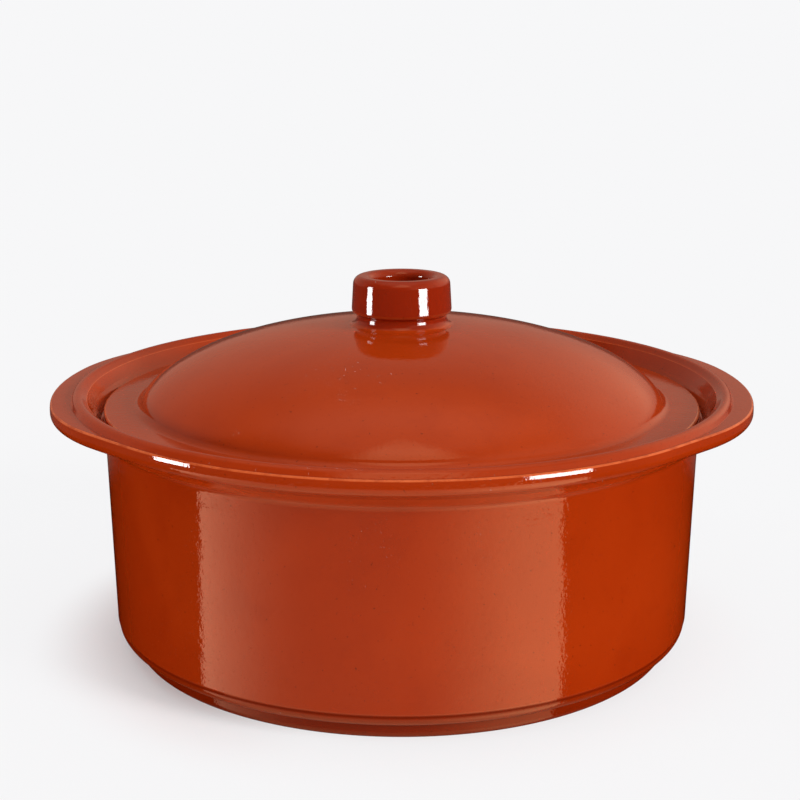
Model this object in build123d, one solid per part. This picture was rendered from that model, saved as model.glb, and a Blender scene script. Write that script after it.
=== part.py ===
from build123d import *
from math import acos, atan2, ceil, cos, dist, pi, radians, sin, sqrt
import os

# Glazed clay casserole with its loose lid, in millimetres.
# The pot's axis is Z, it stands on z = 0, and its two ears point along X.
# Both pieces are fired clay: the ears, the rim bead and the foot are one piece
# with the pot, and the knob is one piece with the lid.

# Roundings are turned as narrow flat bands that stay this close to the true arc.
band_error = 0.35

# Foot and floor of the pot
foot_radius = 131.0
foot_height = 9.1
foot_ring_width = 9.5
foot_recess = 4.0
foot_rounding = 3.5
floor_top = 13.0

# Wall of the pot, which opens slightly towards the rim
wall_radius_low = 138.65
wall_radius_high = 140.85
wall_corner_rounding = 1.2

# Shallow groove just above the wall's lower corner, with a steep upper side
groove_top = 14.6
groove_height = 13.6
groove_bottom = 10.8
groove_depth = 0.55

# Inside of the pot, nearly upright like the wall
cavity_radius_low = 130.3
cavity_radius_high = 131.7
cavity_corner_rounding = 16.0

# Flange round the mouth, and the low rounded bead on it
flange_under = 113.4
flange_top = 121.2
flange_radius = 157.6
flange_root = 104.9
flange_root_fillet = 4.0
flange_top_rounding = 1.0
flange_under_rounding = 4.1
bead_top = 124.3
bead_outer_foot = 156.4
bead_outer_shoulder = 154.5
bead_outer_rounding = 3.0
bead_inner_shoulder = 151.6
bead_inner_rounding = 3.4
bead_inner_edge = (148.5, 121.9)

# Gallery that the lid sits in: a sloped step, a steep wall and the seat
gallery_step = (145.9, 116.2)
gallery_corner = (142.8, 110.7)
gallery_corner_rounding = 2.5
seat_lip = (134.2, 107.3)
seat_lip_rounding = 2.6
lip_under = 104.0

# Ears: the flange runs straight out to a wide shallow arc on each side
ear_tip = 165.5
ear_tangent_angle = 44.2
ear_arc_radius = 168.0
ear_shoulder_rounding = 107.0

# Lid, with heights above the top of its own flange
lid_seat_height = gallery_step[1]
lid_radius = 141.2
lid_flange = 6.6
lid_top_rounding = 1.2
lid_under_rounding = 3.0
dome_radius = 124.3
dome_height = 36.2
dome_foot_fillet = 4.5
dome_wall = 6.5
dome_plan_power = 2.212
dome_rise_power = 1.591
dome_bands = 8
hollow_bands = 5

# Knob, thrown hollow with a round hole in its top
neck_radius = 21.45
neck_top = 41.7
neck_fillet = 2.5
cap_radius_low = 23.8
cap_radius_high = 22.8
cap_edge_rounding = 0.8
cap_top_rounding = 4.0
knob_top = 59.0
hole_radius = 14.0
hole_lip_rounding = 3.4
hollow_radius = 15.5
hollow_shoulder = 50.0
hollow_floor = 42.5


def rounding_points(before, corner, after, rounding):
    """A few points on the arc that rounds the corner between two neighbours."""
    back = atan2(before[1] - corner[1], before[0] - corner[0])
    ahead = atan2(after[1] - corner[1], after[0] - corner[0])
    opening = (ahead - back) % (2 * pi)
    side = 1 if opening < pi else -1
    half = min(opening, 2 * pi - opening) / 2
    bisector = back + side * half
    reach = rounding / sin(half)
    centre = (corner[0] + reach * cos(bisector), corner[1] + reach * sin(bisector))
    turn = pi - 2 * half
    bands = ceil(turn / (2 * acos(1 - min(band_error / rounding, 1))))
    start = bisector + pi + side * turn / 2
    angles = [start - side * turn * step / bands for step in range(bands + 1)]
    return [(centre[0] + rounding * cos(a), centre[1] + rounding * sin(a)) for a in angles]


def softened(corners):
    """Outline through corners given as (x, y, rounding), with each rounding as a few points."""
    points = []
    for index, (x, y, rounding) in enumerate(corners):
        found = [(x, y)]
        if rounding > 0:
            after = corners[(index + 1) % len(corners)]
            found = rounding_points(corners[index - 1], (x, y), after, rounding)
        for point in found:
            # Two half-circle roundings share their meeting point.
            if not points or dist(point, points[-1]) > 0.01:
                points.append(point)
    return points


def turned(corners):
    """Solid turned about Z from corners given as (radius, height, rounding)."""
    outline = Polyline(softened(corners), close=True)
    return revolve(make_face(Plane.XZ * outline), Axis.Z)


def rim_plan():
    """Outline of the flange seen from above, with an ear at each end of X."""
    angle = radians(ear_tangent_angle)
    x_touch = flange_radius * cos(angle)
    y_touch = flange_radius * sin(angle)
    ear_arc_centre = ear_tip - ear_arc_radius
    # The straight side leaves the round rim as a tangent and ends on the ear's arc.
    along = (x_touch - ear_arc_centre) * sin(angle) - y_touch * cos(angle)
    beyond = (x_touch - ear_arc_centre) ** 2 + y_touch**2 - ear_arc_radius**2
    run = sqrt(along**2 - beyond) - along
    x_corner = x_touch + run * sin(angle)
    y_corner = y_touch - run * cos(angle)
    edges = []
    for side in (1, -1):
        x_ear = side * x_corner
        edges.append(Line((side * x_touch, y_touch), (x_ear, y_corner)))
        edges.append(ThreePointArc((x_ear, y_corner), (side * ear_tip, 0), (x_ear, -y_corner)))
        edges.append(Line((x_ear, -y_corner), (side * x_touch, -y_touch)))
        y_side = side * y_touch
        edges.append(ThreePointArc((-x_touch, y_side), (0, side * flange_radius), (x_touch, y_side)))
    plan = make_face(Wire(edges))
    shoulders = [v for v in plan.vertices() if abs(abs(v.X) - x_corner) < 0.01]
    return fillet(shoulders, ear_shoulder_rounding)


def rim_slab():
    """The flange and both ears as one slab with rounded edges and an open middle."""
    edge = softened([
        (0, flange_under, 0),
        (flange_radius, flange_under, flange_under_rounding),
        (flange_radius, flange_top, flange_top_rounding),
        (0, flange_top, 0),
    ])
    plan = rim_plan()
    sections = [Pos(0, 0, height) * offset(plan, reach - flange_radius) for reach, height in edge[1:-1]]
    opening = Cylinder((bead_inner_shoulder + bead_outer_shoulder) / 2, 2 * flange_top)
    return loft(sections, ruled=True) - Pos(0, 0, flange_under) * opening


def pot():
    foot_inner = foot_radius - foot_ring_width
    slab_flat = flange_radius - flange_under_rounding
    core = turned([
        (0, foot_recess, 0),
        (foot_inner, foot_recess, 0),
        (foot_inner, 0, 0),
        (foot_radius, 0, foot_rounding),
        (foot_radius, foot_height, 0),
        (wall_radius_low, foot_height, wall_corner_rounding),
        (wall_radius_low, groove_bottom, 0),
        (wall_radius_low - groove_depth, groove_height, 0),
        (wall_radius_low, groove_top, 0),
        (wall_radius_high, flange_root, flange_root_fillet),
        (slab_flat, flange_under, 0),
        (slab_flat, flange_top - flange_top_rounding, 0),
        (bead_outer_foot, flange_top - flange_top_rounding, 0),
        (bead_outer_foot, flange_top, 0),
        (bead_outer_shoulder, bead_top, bead_outer_rounding),
        (bead_inner_shoulder, bead_top, bead_inner_rounding),
        (*bead_inner_edge, 0),
        (*gallery_step, 0),
        (*gallery_corner, gallery_corner_rounding),
        (*seat_lip, seat_lip_rounding),
        (cavity_radius_high, lip_under, 0),
        (cavity_radius_low, floor_top, cavity_corner_rounding),
        (0, floor_top, 0),
    ])
    return core + rim_slab()


def dome_outline(radius, height, base, bands):
    """Corners down the dome's curve, from its crown on the axis to its foot."""
    corners = []
    for step in range(bands + 1):
        turn = radians(90 * step / bands)
        reach = radius * sin(turn) ** (2 / dome_plan_power)
        rise = height * max(cos(turn), 0) ** (2 / dome_rise_power)
        corners.append((reach, base + rise, 0))
    return corners


def lid():
    hollow_reach = dome_radius - dome_wall
    hollow_rise = dome_height - dome_wall + lid_flange
    inside = dome_outline(hollow_reach, hollow_rise, -lid_flange, hollow_bands)
    # The dome's outside is drawn upwards, from its foot to the knob's neck.
    outside = []
    for corner in reversed(dome_outline(dome_radius, dome_height, 0, dome_bands)[:-1]):
        if corner[0] > neck_radius + neck_fillet:
            outside.append(corner)
    neck_foot = dome_height * (1 - (neck_radius / dome_radius) ** dome_plan_power) ** (1 / dome_rise_power)
    solid = turned([
        *inside,
        (lid_radius, -lid_flange, lid_under_rounding),
        (lid_radius, 0, lid_top_rounding),
        (dome_radius, 0, dome_foot_fillet),
        *outside,
        (neck_radius, neck_foot, neck_fillet),
        (neck_radius, neck_top, 0),
        (cap_radius_low, neck_top, cap_edge_rounding),
        (cap_radius_high, knob_top, cap_top_rounding),
        (hole_radius, knob_top, hole_lip_rounding),
        (hole_radius, hollow_shoulder + hole_lip_rounding, 0),
        (hollow_radius, hollow_shoulder, 0),
        (hollow_radius, hollow_floor, 0),
        (0, hollow_floor, 0),
    ])
    return Pos(0, 0, lid_seat_height) * solid


os.makedirs("parts", exist_ok=True)
for name, solid in (("pot", pot()), ("lid", lid())):
    export_step(solid, f"parts/{name}.step")
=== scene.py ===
from math import atan2, ceil, cos, dist, hypot, pi, radians, sin, sqrt, tan

import bpy
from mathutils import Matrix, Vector


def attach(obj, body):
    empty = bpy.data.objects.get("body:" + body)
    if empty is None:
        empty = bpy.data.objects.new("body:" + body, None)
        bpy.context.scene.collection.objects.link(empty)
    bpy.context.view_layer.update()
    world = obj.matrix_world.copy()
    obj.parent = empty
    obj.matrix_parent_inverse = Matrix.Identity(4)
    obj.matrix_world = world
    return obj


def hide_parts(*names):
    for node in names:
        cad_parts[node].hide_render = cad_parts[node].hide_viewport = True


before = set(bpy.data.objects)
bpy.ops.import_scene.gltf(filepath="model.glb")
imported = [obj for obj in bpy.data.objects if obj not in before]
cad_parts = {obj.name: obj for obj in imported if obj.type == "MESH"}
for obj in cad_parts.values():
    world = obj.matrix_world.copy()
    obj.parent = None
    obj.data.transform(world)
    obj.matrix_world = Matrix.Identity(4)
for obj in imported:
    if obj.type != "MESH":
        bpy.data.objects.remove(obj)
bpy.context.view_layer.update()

# Glazed clay casserole. The pot and the lid are turned again here with true roundings and
# stand for the CAD solids. Their sizes are the CAD's, with small changes at the wall's
# lower corner, the flange's edge, the bead and the knob's neck.

# Sizes and places are in millimetres, and this many metres make one.
MM = 0.001

# Farther out than any point of the object
BEYOND = 1000.0

# Fineness of the meshes
COLUMNS = 384
ARC_STEP = radians(7)
LONGEST_SPAN = 9.0
DOME_STEPS = 40

# Brightness of the white paper, and of the plain light that shows the glaze's colour
PAPER = 0.93
PAPER_COLOUR = (PAPER, PAPER, PAPER * 1.01)
AMBIENT = 0.48

# Foot and floor of the pot
foot_radius = 131.0
foot_height = 8.4
foot_ring_width = 9.5
foot_recess = 4.0
foot_recess_rounding = 1.5
foot_inner_rounding = 2.0
foot_outer_rounding = 3.5
foot_top_rounding = 1.5
floor_top = 13.0

# Wall of the pot, whose lowest band is set back a little under a fine edge
wall_radius_low = 138.65
wall_radius_high = 140.85
wall_corner_rounding = 4.0
band_depth = 0.55
band_top = 12.9
band_top_rounding = 0.8
wall_edge = 14.7
wall_edge_rounding = 0.3

# Inside of the pot
cavity_radius_low = 130.3
cavity_radius_high = 131.7
cavity_corner_rounding = 16.0

# Flange round the mouth
flange_root = 104.9
flange_root_fillet = 4.0
flange_under = 113.4
flange_under_flat = 0.6
flange_under_fillet = 1.5
flange_under_rounding = 4.1
flange_radius = 157.6
flange_lean_start = 119.1
flange_lean_rounding = 1.0
flange_lean = 0.22
flange_top = 121.2
flange_top_rounding = 1.0

# Low rounded bead on the flange
bead_top = 124.3
bead_outer_foot = 156.4
bead_outer_foot_rounding = 0.3
bead_outer_shoulder = 154.5
bead_outer_rounding = 3.0
bead_inner_shoulder = 151.6
bead_inner_rounding = 3.3
bead_inner_edge = (148.5, 121.9)
bead_inner_edge_rounding = 0.8

# Gallery that the lid sits in: a sloped step, a steep wall and the seat
gallery_step = (145.9, 116.2)
gallery_step_rounding = 1.5
gallery_corner = (142.8, 110.7)
gallery_corner_rounding = 0.8
seat_lip = (134.2, 107.3)
seat_lip_rounding = 1.2
lip_under = 104.0
lip_under_rounding = 8.0

# Ears: the flange runs straight out to a wide shallow arc on each side
ear_tip = 165.5
ear_tangent_angle = radians(44.2)
ear_arc_radius = 168.0
ear_arc_centre = ear_tip - ear_arc_radius
ear_shoulder_rounding = 107.0

# Lid, with heights above the top of its own flange
lid_seat_height = gallery_step[1]
lid_radius = 141.2
lid_flange = 6.6
lid_inner_rounding = 1.2
lid_under_rounding = 3.0
lid_top_rounding = 1.2
dome_radius = 124.3
dome_height = 36.2
dome_foot_fillet = 4.5
dome_wall = 6.5
dome_plan_power = 2.212
dome_rise_power = 1.591

# Knob, thrown hollow with a round hole in its top
neck_radius = 21.45
neck_fillet = 4.0
cap_root = 40.6
cap_root_rounding = 1.6
cap_edge = 42.2
cap_edge_rounding = 2.4
cap_radius_low = 23.8
cap_radius_high = 22.8
cap_top_rounding = 4.0
knob_top = 59.0
hole_radius = 14.0
hole_lip_rounding = 3.4
hollow_radius = 15.5
hollow_shoulder = 50.0
hollow_shoulder_rounding = 1.0
hollow_floor = 42.5
hollow_floor_rounding = 3.0


def direction(start, end):
    """Unit vector between two outline points, whatever else they hold."""
    length = dist(start[:2], end[:2])
    return (end[0] - start[0]) / length, (end[1] - start[1]) / length


def arc(centre, rounding, start, turn, side, strength=1.0):
    """Points (radius, height, normal, edge) along an arc that turns on from its start angle.

    Side is 1 for a ridge, where the normals point away from the centre, and -1 for a
    corner. The edge value is 1 on a sharp ridge, which the glaze paints paler for thin glaze and
    as a painted highlight, and -1 in a tight corner, which it paints darker for pooled glaze and
    as painted shade.
    """
    steps = max(2, ceil(abs(turn) / ARC_STEP))
    sharpness = strength * min(1, 1 / rounding) ** 2
    points = []
    for step in range(steps + 1):
        angle = start + turn * step / steps
        out = (cos(angle), sin(angle))
        points.append((
            centre[0] + rounding * out[0],
            centre[1] + rounding * out[1],
            (side * out[0], side * out[1]),
            side * sharpness * sin(pi * step / steps),
        ))
    return points


def rounded(corners):
    """Arcs, as points, through corners given as (radius, height, rounding).

    The material is on the left of the way along, so the normals point to the right.
    The first and the last corner only give the direction there.
    """
    points = []
    for before, corner, after in zip(corners, corners[1:], corners[2:]):
        into, out = direction(before, corner), direction(corner, after)
        turn = atan2(into[0] * out[1] - into[1] * out[0], into[0] * out[0] + into[1] * out[1])
        side = 1 if turn > 0 else -1
        rounding = corner[2]
        back = rounding * tan(abs(turn) / 2)
        start = (corner[0] - into[0] * back, corner[1] - into[1] * back)
        centre = (start[0] - side * rounding * into[1], start[1] + side * rounding * into[0])
        start_angle = atan2(into[1], into[0]) - side * pi / 2
        points += arc(centre, rounding, start_angle, turn, side, min(1, abs(turn)))
    return points


def dome_point(radius, height, turn):
    """Point of the dome's curve with its outward normal: turn 0 is the crown, a right angle the foot."""
    reach = sin(turn) ** (2 / dome_plan_power)
    rise = max(cos(turn), 0) ** (2 / dome_rise_power)
    slope_out = dome_plan_power / radius * reach ** (dome_plan_power - 1)
    slope_up = dome_rise_power / height * rise ** (dome_rise_power - 1)
    length = hypot(slope_out, slope_up)
    return radius * reach, height * rise, (slope_out / length, slope_up / length), 0.0


def fillet_on_dome(rounding, too_low):
    """Where a fillet touches the dome: the turn there, the fillet's centre and the angle from it.

    The function too_low says of a centre whether it belongs farther up the dome. Each of
    the halvings halves the stretch between crown and foot that can hold the place.
    """
    halvings = 40
    low, high = radians(1), radians(89.9)
    for _ in range(halvings):
        turn = (low + high) / 2
        x, y, normal, _ = dome_point(dome_radius, dome_height, turn)
        centre = (x + rounding * normal[0], y + rounding * normal[1])
        if too_low(centre):
            high = turn
        else:
            low = turn
    return turn, centre, atan2(-normal[1], -normal[0])


def hollow_points():
    """The dome's inside, from its crown to its foot."""
    points = []
    for step in range(DOME_STEPS):
        turn = radians(90) * step / DOME_STEPS
        height = dome_height - dome_wall + lid_flange
        x, y, normal, edge = dome_point(dome_radius - dome_wall, height, turn)
        points.append((x, y - lid_flange, (-normal[0], -normal[1]), edge))
    return points


def dome_points():
    """The dome's outside with the fillets at its foot and at the knob's neck, upwards."""
    foot_turn, foot_centre, foot_angle = fillet_on_dome(
        dome_foot_fillet, lambda centre: centre[1] < dome_foot_fillet)
    neck_turn, neck_centre, neck_angle = fillet_on_dome(
        neck_fillet, lambda centre: centre[0] > neck_radius + neck_fillet)
    points = arc(foot_centre, dome_foot_fillet, -pi / 2, foot_angle + pi / 2, -1)
    for step in range(1, DOME_STEPS):
        turn = foot_turn + (neck_turn - foot_turn) * step / DOME_STEPS
        points.append(dome_point(dome_radius, dome_height, turn))
    return points + arc(neck_centre, neck_fillet, neck_angle, -pi - neck_angle, -1)


def lid_outline():
    """Outline of the lid from the hollow's crown round the flange and dome to the knob's floor."""
    hollow_foot = dome_radius - dome_wall
    flange = rounded([
        (hollow_foot, 0, 0),
        (hollow_foot, -lid_flange, lid_inner_rounding),
        (lid_radius, -lid_flange, lid_under_rounding),
        (lid_radius, 0, lid_top_rounding),
        (dome_radius, 0, 0),
    ])
    knob = rounded([
        (neck_radius, 0, 0),
        (neck_radius, cap_root, cap_root_rounding),
        (cap_radius_low, cap_edge, cap_edge_rounding),
        (cap_radius_high, knob_top, cap_top_rounding),
        (hole_radius, knob_top, hole_lip_rounding),
        (hole_radius, hollow_shoulder + hole_lip_rounding, hollow_shoulder_rounding),
        (hollow_radius, hollow_shoulder, hollow_shoulder_rounding),
        (hollow_radius, hollow_floor, hollow_floor_rounding),
        (0, hollow_floor, 0),
    ])
    floor_middle = (0, hollow_floor, (0, 1), 0.0)
    points = [*hollow_points(), *flange, *dome_points(), *knob, floor_middle]
    return [(x, y + lid_seat_height, normal, edge) for x, y, normal, edge in points]


def pot_outline_below():
    """Underside, foot and wall, out to where the flange's edge begins."""
    foot_inner = foot_radius - foot_ring_width
    band_radius = wall_radius_low - band_depth
    edge_start = flange_radius - flange_under_rounding
    underside_middle = (0, foot_recess, (0, -1), 0.0)
    return [underside_middle] + rounded([
        (0, foot_recess, 0),
        (foot_inner, foot_recess, foot_recess_rounding),
        (foot_inner, 0, foot_inner_rounding),
        (foot_radius, 0, foot_outer_rounding),
        (foot_radius, foot_height, foot_top_rounding),
        (band_radius, foot_height, wall_corner_rounding),
        (band_radius, band_top, band_top_rounding),
        (wall_radius_low, wall_edge, wall_edge_rounding),
        (wall_radius_high, flange_root, flange_root_fillet),
        (edge_start - flange_under_flat, flange_under, flange_under_fillet),
        (edge_start, flange_under, 0),
    ])


def pot_outline_above():
    """Bead, gallery, seat and cavity, from the flange's top to the middle of the floor."""
    floor_middle = (0, floor_top, (0, 1), 0.0)
    return rounded([
        (flange_radius, flange_top, 0),
        (bead_outer_foot, flange_top, bead_outer_foot_rounding),
        (bead_outer_shoulder, bead_top, bead_outer_rounding),
        (bead_inner_shoulder, bead_top, bead_inner_rounding),
        (*bead_inner_edge, bead_inner_edge_rounding),
        (*gallery_step, gallery_step_rounding),
        (*gallery_corner, gallery_corner_rounding),
        (*seat_lip, seat_lip_rounding),
        (cavity_radius_high, lip_under, lip_under_rounding),
        (cavity_radius_low, floor_top, cavity_corner_rounding),
        (0, floor_top, 0),
    ]) + [floor_middle]


def with_spans(points):
    """The same outline with long straight stretches divided."""
    result = [points[0]]
    for before, after in zip(points, points[1:]):
        pieces = max(1, ceil(dist(before[:2], after[:2]) / LONGEST_SPAN))
        for piece in range(1, pieces):
            share = piece / pieces
            result.append((
                before[0] + (after[0] - before[0]) * share,
                before[1] + (after[1] - before[1]) * share,
                before[2],
                0.0,
            ))
        result.append(after)
    return result


def ear_shoulder():
    """Centre of the circle that joins a flange's straight side to the ear's arc from inside."""
    side_normal = (cos(ear_tangent_angle), sin(ear_tangent_angle))
    inset = flange_radius - ear_shoulder_rounding
    to_arc_centre = inset - ear_arc_centre * side_normal[0]
    past = sqrt((ear_arc_radius - ear_shoulder_rounding) ** 2 - to_arc_centre**2)
    past += ear_arc_centre * side_normal[1]
    return (
        inset * side_normal[0] + past * side_normal[1],
        inset * side_normal[1] - past * side_normal[0],
    )


def on_circle(centre, radius, way):
    """Where a ray from the axis meets a circle, with the circle's normal there."""
    along = centre[0] * way[0] + centre[1] * way[1]
    reach = along + sqrt(radius**2 - centre[0] ** 2 - centre[1] ** 2 + along**2)
    point = (reach * way[0], reach * way[1])
    return point, ((point[0] - centre[0]) / radius, (point[1] - centre[1]) / radius)


def rim_point(angle):
    """Point and normal of the flange's outline seen from above, which has an ear on each side."""
    side_x = 1 if cos(angle) >= 0 else -1
    side_y = 1 if sin(angle) >= 0 else -1
    way = (abs(cos(angle)), abs(sin(angle)))
    turned = atan2(way[1], way[0])
    side_normal = (cos(ear_tangent_angle), sin(ear_tangent_angle))
    shoulder = ear_shoulder()
    toward = direction((ear_arc_centre, 0), shoulder)
    line_end = (
        shoulder[0] + ear_shoulder_rounding * side_normal[0],
        shoulder[1] + ear_shoulder_rounding * side_normal[1],
    )
    shoulder_end = (ear_arc_centre + ear_arc_radius * toward[0], ear_arc_radius * toward[1])
    if turned >= ear_tangent_angle:
        point, normal = (flange_radius * way[0], flange_radius * way[1]), way
    elif turned >= atan2(line_end[1], line_end[0]):
        reach = flange_radius / cos(ear_tangent_angle - turned)
        point, normal = (reach * way[0], reach * way[1]), side_normal
    elif turned >= atan2(shoulder_end[1], shoulder_end[0]):
        point, normal = on_circle(shoulder, ear_shoulder_rounding, way)
    else:
        point, normal = on_circle((ear_arc_centre, 0), ear_arc_radius, way)
    return (side_x * point[0], side_y * point[1]), (side_x * normal[0], side_y * normal[1])


def rim_edge(angle):
    """The flange's rounded edge at one angle, from its underside to its top."""
    point, out = rim_point(angle)
    corners = [
        (-flange_radius, flange_under, 0),
        (0, flange_under, flange_under_rounding),
        (0, flange_lean_start, flange_lean_rounding),
        (-flange_lean, flange_top, flange_top_rounding),
        (-flange_radius, flange_top, 0),
    ]
    points = []
    for reach, height, normal, edge in rounded(corners):
        points.append((
            (point[0] + reach * out[0], point[1] + reach * out[1], height),
            (out[0] * normal[0], out[1] * normal[0], normal[1]),
            edge,
        ))
    return points


def turned_to(angle, point):
    """A point of an outline turned about the axis, as (place, normal, edge)."""
    x, z, normal, edge = point
    across, along = cos(angle), sin(angle)
    return (x * across, x * along, z), (normal[0] * across, normal[0] * along, normal[1]), edge


def pot_columns():
    """The pot's outline at every angle, half a step off the ears' tips."""
    below, above = with_spans(pot_outline_below()), with_spans(pot_outline_above())
    columns = []
    for index in range(COLUMNS):
        angle = 2 * pi * (index + 0.5) / COLUMNS
        column = [turned_to(angle, point) for point in below]
        column += rim_edge(angle)
        column += [turned_to(angle, point) for point in above]
        columns.append(column)
    return columns


def lid_columns():
    """The lid's outline at every angle."""
    outline = with_spans(lid_outline())
    angles = [2 * pi * index / COLUMNS for index in range(COLUMNS)]
    return [[turned_to(angle, point) for point in outline] for angle in angles]


def placed(name, data):
    """New object in the scene."""
    made = bpy.data.objects.new(name, data)
    bpy.context.scene.collection.objects.link(made)
    return made


def piece_from_columns(name, columns):
    """Closed piece from columns of points that all start and end on the axis."""
    rows = len(columns[0])
    vertices = []
    normals = []
    edges = []
    first_of_row = []
    for row in range(rows):
        first_of_row.append(len(vertices))
        ring = columns[:1] if row in (0, rows - 1) else columns
        for column in ring:
            place, normal, edge = column[row]
            vertices.append([length * MM for length in place])
            normals.append(normal)
            edges.append(edge)
    faces = []
    for row in range(rows - 1):
        low, high = first_of_row[row], first_of_row[row + 1]
        for index in range(COLUMNS):
            following = (index + 1) % COLUMNS
            if row == 0:
                faces.append((low, high + following, high + index))
            elif row == rows - 2:
                faces.append((low + index, low + following, high))
            else:
                faces.append((low + index, low + following, high + following, high + index))
    mesh = bpy.data.meshes.new(name)
    mesh.from_pydata(vertices, [], faces)
    mesh.shade_smooth()
    mesh.normals_split_custom_set_from_vertices(normals)
    mesh.attributes.new("edge", "FLOAT", "POINT").data.foreach_set("value", edges)
    return placed(name, mesh)


class Shading:
    """Short ways to add the nodes that the materials and the studio share."""

    def __init__(self, tree):
        self.nodes = tree.nodes
        self.links = tree.links

    def add(self, kind, inputs=None, **settings):
        """New node whose inputs are constants or other nodes' outputs."""
        node = self.nodes.new(kind)
        for name, value in settings.items():
            setattr(node, name, value)
        for socket, value in (inputs or {}).items():
            if hasattr(value, "is_output"):
                self.links.new(value, node.inputs[socket])
            else:
                node.inputs[socket].default_value = value
        return node

    def place(self):
        """Place on the object, in metres."""
        return self.add("ShaderNodeTexCoord").outputs["Object"]

    def parts(self, vector):
        """The x, y and z of a vector."""
        return self.add("ShaderNodeSeparateXYZ", {0: vector}).outputs

    def math(self, operation, *values):
        return self.add("ShaderNodeMath", dict(enumerate(values)), operation=operation).outputs[0]

    def vector_math(self, operation, inputs):
        return self.add("ShaderNodeVectorMath", inputs, operation=operation).outputs

    def ease(self, value, low, high, first=0.0, last=1.0):
        """Smooth change from first to last while the value goes from low to high."""
        inputs = {"Value": value, "From Min": low, "From Max": high, "To Min": first, "To Max": last}
        node = self.add("ShaderNodeMapRange", inputs, interpolation_type="SMOOTHSTEP")
        return node.outputs["Result"]

    def within(self, value, low, high, soft_low, soft_high):
        """1 between low and high and 0 outside, with soft ends."""
        return self.math(
            "MULTIPLY",
            self.ease(value, low - soft_low, low + soft_low),
            self.ease(value, high + soft_high, high - soft_high),
        )

    def noise(self, vector, scale, detail=2.0, roughness=0.5, distortion=0.0):
        inputs = {"Vector": vector, "Scale": scale, "Detail": detail, "Roughness": roughness,
                  "Distortion": distortion}
        return self.add("ShaderNodeTexNoise", inputs).outputs["Fac"]

    def mix(self, share, first, second):
        """Mix of two colours, each an output or (red, green, blue)."""
        colours = [(*colour, 1) if isinstance(colour, tuple) else colour for colour in (first, second)]
        # The node has sockets for numbers and vectors too. These are the ones for colours.
        inputs = {0: share, 6: colours[0], 7: colours[1]}
        return self.add("ShaderNodeMix", inputs, data_type="RGBA").outputs[2]

    def bump(self, height, distance, over=None):
        """Relief, on top of another one where that is given."""
        inputs = {"Strength": 1.0, "Distance": distance, "Height": height}
        if over is not None:
            inputs["Normal"] = over
        return self.add("ShaderNodeBump", inputs).outputs["Normal"]


def new_material(name):
    """Empty material, with the way to add its nodes."""
    material = bpy.data.materials.new(name)
    material.use_nodes = True
    material.node_tree.nodes.clear()
    return material, Shading(material.node_tree)


def glaze(name, body, thin, pooled_and_shaded, ridge_colour, zones):
    """Clear honey glaze over red-brown clay: paler where it is thin, darker where it pooled, with
    painted highlights on sharp ridges and painted shade in tight corners.

    Each zone is ((inner radius, outer radius), (bottom, top), tint, gloss), in millimetres,
    with shares of red, green and blue and a share of the gloss that hold inside it.
    """
    grit_colour = (0.10, 0.012, 0.002)
    ring_depth, wave_depth, peel_depth, pit_depth = 0.03, 0.2, 0.06, 0.08
    pits_below = 0.22
    soft = 0.6 * MM
    material, shade = new_material(name)
    place = shade.place()
    x, y, height = shade.parts(place)
    squares = [shade.math("POWER", side, 2.0) for side in (x, y)]
    reach = shade.math("SQRT", shade.math("ADD", *squares))
    # The same all the way round, like the marks of the potter's fingers.
    turned_place = shade.add("ShaderNodeCombineXYZ", {0: reach, 2: height}).outputs[0]

    clouds = shade.noise(place, scale=11.0, detail=3.0, roughness=0.55, distortion=0.6)
    colour = shade.mix(shade.ease(clouds, 0.35, 0.68), body, thin)
    patches = shade.noise(place, scale=45.0, detail=3.0, roughness=0.6)
    colour = shade.mix(shade.ease(patches, 0.52, 0.75, last=0.15), colour, pooled_and_shaded)
    coat = 1.0
    for (inner, outer), (bottom, top), tint, gloss in zones:
        share = shade.math(
            "MULTIPLY",
            shade.within(reach, inner * MM, outer * MM, soft, soft),
            shade.within(height, bottom * MM, top * MM, soft, soft),
        )
        tint_here = shade.mix(share, (1, 1, 1), tint)
        colour = shade.vector_math("MULTIPLY", {0: colour, 1: tint_here})[0]
        gloss_here = shade.math("MULTIPLY_ADD", share, gloss - 1.0, 1.0)
        coat = shade.math("MULTIPLY", coat, gloss_here)
    # Sharp ridges are painted paler: thin glaze, and partly a painted highlight.
    edge = shade.add("ShaderNodeAttribute", attribute_name="edge").outputs["Fac"]
    ridge_gaps = shade.noise(place, scale=120.0, detail=3.0, roughness=0.7)
    uneven_ridge = shade.ease(ridge_gaps, 0.3, 0.6, first=0.35)
    ridge = shade.math("MULTIPLY", shade.ease(edge, 0.02, 0.55), uneven_ridge)
    colour = shade.mix(ridge, colour, ridge_colour)
    # Tight corners are painted darker: pooled glaze, and partly painted shade.
    colour = shade.mix(shade.ease(edge, -0.05, -0.6, last=0.7), colour, pooled_and_shaded)
    grit = shade.noise(place, scale=620.0, detail=1.0)
    colour = shade.mix(shade.ease(grit, 0.735, 0.78, last=0.6), colour, grit_colour)

    rings = shade.bump(shade.noise(turned_place, scale=190.0), ring_depth * MM)
    waves = shade.bump(shade.noise(place, scale=38.0, detail=1.0), wave_depth * MM, over=rings)
    peel = shade.bump(shade.noise(place, scale=420.0, roughness=0.6), peel_depth * MM, over=waves)
    pits = shade.math("LESS_THAN", shade.noise(place, scale=900.0, detail=0.0), pits_below)
    surface = shade.bump(pits, -pit_depth * MM, over=peel)

    shader = shade.add("ShaderNodeBsdfPrincipled", {
        "Base Color": colour,
        "Roughness": 0.3,
        "IOR": 1.5,
        "Specular IOR Level": 0.0,
        "Normal": surface,
        "Coat Weight": coat,
        "Coat Roughness": 0.03,
        "Coat IOR": 1.52,
        "Coat Normal": surface,
    })
    shade.add("ShaderNodeOutputMaterial", {"Surface": shader.outputs["BSDF"]})
    return material


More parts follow.
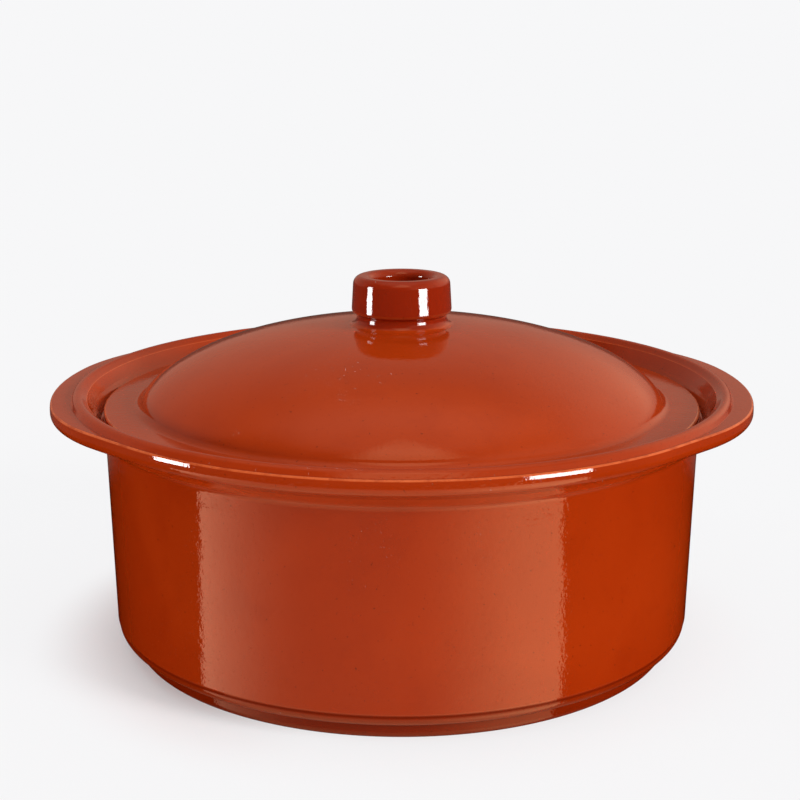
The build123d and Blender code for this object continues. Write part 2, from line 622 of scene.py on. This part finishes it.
def pot_glaze():
    """The pot's glaze: painted light makes the gallery brighter and the cavity redder, and
    painted shade makes a line under the wall's edge, the band and the foot dark and dull.
    """
    cavity_bottom, lip_bottom, gallery_bottom, gallery_top = 8.0, 101.5, 105.5, 123.0
    foot_top, line_bottom, line_top = 7.2, 12.5, 14.1
    foot_inside, cavity_reach, line_inside, gallery_reach = 120.0, 133.5, 134.0, 149.0
    gallery = (cavity_reach, gallery_reach), (gallery_bottom, gallery_top)
    lip = (-BEYOND, cavity_reach), (lip_bottom, gallery_bottom)
    cavity = (-BEYOND, cavity_reach), (cavity_bottom, lip_bottom)
    shadow_line_under_wall = (line_inside, BEYOND), (line_bottom, line_top)
    band = (foot_inside, BEYOND), (foot_top, line_bottom)
    foot = (foot_inside, BEYOND), (-BEYOND, foot_top)
    return glaze(
        "pot_glaze",
        body=(0.31, 0.023, 0.0014),
        thin=(0.345, 0.028, 0.002),
        pooled_and_shaded=(0.21, 0.012, 0.0008),
        ridge_colour=(0.58, 0.10, 0.025),
        zones=[
            # Painted light: the gallery is lighter in place of light that the lid above keeps off, and
            # lip and cavity are lighter and redder for light that bounces inside.
            (*gallery, (1.25, 1.35, 1.4), 1.0),
            (*lip, (1.18, 0.75, 0.7), 1.0),
            (*cavity, (1.2, 0.75, 0.7), 0.6),
            # Painted shade: a dark line with little gloss under the wall's edge, and band and foot
            # darker and duller for the shade near the floor.
            (*shadow_line_under_wall, (0.5, 0.4, 0.4), 0.1),
            (*band, (0.72, 0.72, 0.8), 0.8),
            (*foot, (0.62, 0.55, 0.6), 0.5),
        ],
    )


def lid_glaze():
    """The lid's glaze: a little paler than the pot's, and darker on the knob."""
    knob_reach, knob_bottom = 30.0, 153.0
    knob = (-BEYOND, knob_reach), (knob_bottom, BEYOND)
    return glaze(
        "lid_glaze",
        body=(0.35, 0.030, 0.0022),
        thin=(0.39, 0.036, 0.003),
        pooled_and_shaded=(0.25, 0.016, 0.001),
        ridge_colour=(0.62, 0.12, 0.03),
        zones=[(*knob, (0.68, 0.42, 0.4), 1.0)],
    )


def bare_clay():
    """Unglazed fired clay, as on the standing ring and the underside."""
    dark, pale, grain_colour = (0.34, 0.085, 0.035), (0.46, 0.15, 0.07), (0.22, 0.05, 0.02)
    grain_depth = 0.1
    material, shade = new_material("bare_clay")
    place = shade.place()
    colour = shade.mix(shade.noise(place, scale=30.0, detail=4.0, roughness=0.6), dark, pale)
    grain = shade.noise(place, scale=900.0, detail=3.0, roughness=0.7)
    colour = shade.mix(shade.ease(grain, 0.62, 0.75, last=0.6), colour, grain_colour)
    shader = shade.add("ShaderNodeBsdfPrincipled", {
        "Base Color": colour,
        "Roughness": 0.85,
        "Specular IOR Level": 0.25,
        "Normal": shade.bump(grain, grain_depth * MM),
    })
    shade.add("ShaderNodeOutputMaterial", {"Surface": shader.outputs["BSDF"]})
    return material


def paper():
    """White paper for the camera, which lets part of the real shading through near the foot."""
    shaded_tint = (0.975, 0.975, 0.985)
    shadow_left, shadow_right, shadow_reach = -110.0, -30.0, 185.0
    material, shade = new_material("paper")
    shaded_colour = (*[PAPER * share for share in shaded_tint], 1)
    shaded = shade.add("ShaderNodeBsdfDiffuse", {"Color": shaded_colour})
    white = shade.add("ShaderNodeEmission", {"Color": (*PAPER_COLOUR, 1)})
    seen = shade.add("ShaderNodeLightPath").outputs["Is Camera Ray"]
    place = shade.place()
    away = shade.vector_math("LENGTH", {0: place})["Value"]
    # The shadow stays deepest beside the foot, on the left.
    x = shade.parts(place)[0]
    at_foot = shade.ease(x, shadow_left * MM, shadow_right * MM, first=0.3, last=0.8)
    white_share = shade.ease(away, foot_radius * MM, shadow_reach * MM, first=at_foot, last=0.92)
    mixed = shade.add("ShaderNodeMixShader", {
        0: shade.math("MULTIPLY", seen, white_share),
        1: shaded.outputs[0],
        2: white.outputs[0],
    })
    shade.add("ShaderNodeOutputMaterial", {"Surface": mixed.outputs[0]})
    return material


def add_pot():
    """The pot, glazed but for the bare clay that it stands on."""
    bare_below, facing_down = (foot_recess + 0.5) * MM, -0.9
    pot = piece_from_columns("pot_thrown", pot_columns())
    pot.data.materials.append(pot_glaze())
    pot.data.materials.append(bare_clay())
    for face in pot.data.polygons:
        if face.center.z < bare_below and face.normal.z < facing_down:
            face.material_index = 1
    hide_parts("pot")
    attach(pot, "pot")


def add_lid():
    """The lid, glazed all over."""
    lid = piece_from_columns("lid_thrown", lid_columns())
    lid.data.materials.append(lid_glaze())
    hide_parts("lid")
    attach(lid, "lid")


def add_floor():
    """A floor that reaches far past the object on all sides, in metres."""
    size = 30.0
    mesh = bpy.data.meshes.new("floor")
    corners = [(-size, -size, 0), (size, -size, 0), (size, size, 0), (-size, size, 0)]
    mesh.from_pydata(corners, [], [(0, 1, 2, 3)])
    mesh.materials.append(paper())
    floor = placed("floor", mesh)
    floor.visible_glossy = False


def lit_table(shade, way, rise):
    """Share of the table's lit front, which ends along a straight line on each side.

    Each line is (slope, depth in the middle) on a plane that lies one unit below.
    """
    left_line, right_line, line_soft = (0.235, 0.26), (-0.71, 0.457), 0.04
    edge_rise, edge_soft = -18.1, 0.5
    least_drop = 0.05
    drop = shade.math("MAXIMUM", shade.math("MULTIPLY", way[2], -1.0), least_drop)
    across = shade.math("DIVIDE", way[0], drop)
    deep = shade.math("DIVIDE", way[1], drop)
    share = shade.ease(rise, edge_rise + edge_soft, edge_rise - edge_soft)
    for slope, middle in (left_line, right_line):
        line = shade.math("MULTIPLY_ADD", across, slope, middle)
        in_front = shade.math("SUBTRACT", line, deep)
        share = shade.math("MULTIPLY", share, shade.ease(in_front, -line_soft, line_soft))
    return share


def seen_in_gloss(shade):
    """What the glaze mirrors in each direction.

    Turn 0 is towards the camera and 90 towards its right, and rise 90 is overhead.
    """
    way = shade.parts(shade.add("ShaderNodeTexCoord").outputs["Generated"])
    to_camera = shade.math("MULTIPLY", way[1], -1.0)
    turn = shade.math("DEGREES", shade.math("ARCTAN2", way[0], to_camera))
    rise = shade.math("DEGREES", shade.math("ARCSINE", way[2]))
    panel_light, panel_bottom, panel_soft = (24, 24, 24), -13, 1

    def lit(colour, *shares):
        share = shares[0]
        for other in shares[1:]:
            share = shade.math("MULTIPLY", share, other)
        return shade.vector_math("SCALE", {0: colour, "Scale": share})[0]

    def panel(left, right, top, soft_top):
        width = shade.within(turn, left, right, panel_soft, panel_soft)
        return lit(panel_light, width, shade.within(rise, panel_bottom, top, panel_soft, soft_top))

    table = lit_table(shade, way, rise)
    table_rest = shade.math("SUBTRACT", 1.0, table)
    table_left = shade.math("POWER", shade.ease(turn, -25, -106), 1.6)
    table_right = shade.math("POWER", shade.ease(turn, 0, 55), 1.2)
    room_behind = shade.ease(way[1], -0.05, 0.3)
    room_behind_top = shade.ease(rise, 60, 20, first=0.4)
    room_right = shade.ease(way[0], 0.1, 0.6)
    reflector = shade.within(turn, -25, 30, 12, 12)
    lights = [
        # The table's lit front: even, and brighter near the object, on the left and on the right
        lit((0.6, 0.3, 0.2), table),
        lit((0.5, 0.3, 0.14), table, shade.ease(rise, -22, -40)),
        lit((4.2, 2.3, 1.4), table, table_left, shade.ease(rise, -45, -22)),
        lit((2.2, 1.25, 0.6), table, table_right, shade.ease(rise, -75, -45)),
        # The rest of the table, seen steeply
        lit((0.5, 0.3, 0.2), table_rest, shade.ease(rise, -35, -65)),
        # The two bright panels
        panel(-86.5, -72.5, top=15, soft_top=4),
        panel(41, 62, top=12.5, soft_top=1.5),
        # The room behind the object and on its right
        lit((0.36, 0.185, 0.135), room_behind, shade.ease(rise, 0.5, 2.5), room_behind_top),
        lit((0.6, 0.35, 0.22), room_right, shade.within(rise, 8, 50, 6, 20)),
        # A reflector over the camera, the ceiling, and faint light above the table's edge
        lit((1.4, 0.8, 0.42), reflector, shade.within(rise, 45, 80, 1.5, 20)),
        lit((0.42, 0.3, 0.22), shade.ease(rise, 48, 75)),
        lit((0.08, 0.06, 0.05), shade.ease(rise, -17, -16)),
    ]
    total = lights[0]
    for other in lights[1:]:
        total = shade.vector_math("ADD", {0: total, 1: other})[0]
    return total


def add_studio():
    """White paper for the camera, plain soft light for colour, and the studio for the gloss."""
    world = bpy.data.worlds.new("studio")
    world.use_nodes = True
    world.node_tree.nodes.clear()
    bpy.context.scene.world = world
    shade = Shading(world.node_tree)
    rays = shade.add("ShaderNodeLightPath").outputs
    plain = (AMBIENT, AMBIENT, AMBIENT)
    colour = shade.mix(rays["Is Glossy Ray"], plain, seen_in_gloss(shade))
    clear = shade.math("MAXIMUM", rays["Is Camera Ray"], rays["Is Transmission Ray"])
    colour = shade.mix(clear, colour, PAPER_COLOUR)
    background = shade.add("ShaderNodeBackground", {"Color": colour})
    shade.add("ShaderNodeOutputWorld", {"Surface": background.outputs[0]})


def add_sun(name, azimuth, elevation, width, strength):
    """Wide soft light, in degrees. Azimuth 0 comes from the camera's side and 90 from its right."""
    light = bpy.data.lights.new(name, "SUN")
    light.energy = strength
    light.angle = radians(width)
    sun = placed(name, light)
    turn, rise = radians(azimuth), radians(elevation)
    away = Vector((sin(turn) * cos(rise), -cos(turn) * cos(rise), sin(rise)))
    sun.rotation_mode = "QUATERNION"
    sun.rotation_quaternion = away.to_track_quat("Z", "Y")
    sun.visible_glossy = False


def add_camera():
    """Camera that was fitted to the ellipses of rim, wall, foot and lid, and looks slightly down."""
    across, deep, high = -0.8, -742.2, 296.8
    downwards = 13.81
    camera = bpy.data.cameras.new("camera")
    camera.sensor_width = 36.0
    camera.lens = 71.4
    made = placed("camera", camera)
    made.location = (across * MM, deep * MM, high * MM)
    made.rotation_euler = (radians(90 - downwards), 0, 0)
    bpy.context.scene.camera = made


add_pot()
add_lid()
add_floor()
add_studio()
add_sun("key_light", azimuth=60, elevation=20, width=20, strength=2.4)
add_sun("left_light", azimuth=-80, elevation=6, width=10, strength=1.0)
add_sun("top_light", azimuth=0, elevation=80, width=70, strength=0.8)
add_camera()
bpy.context.scene.view_settings.view_transform = "Standard"
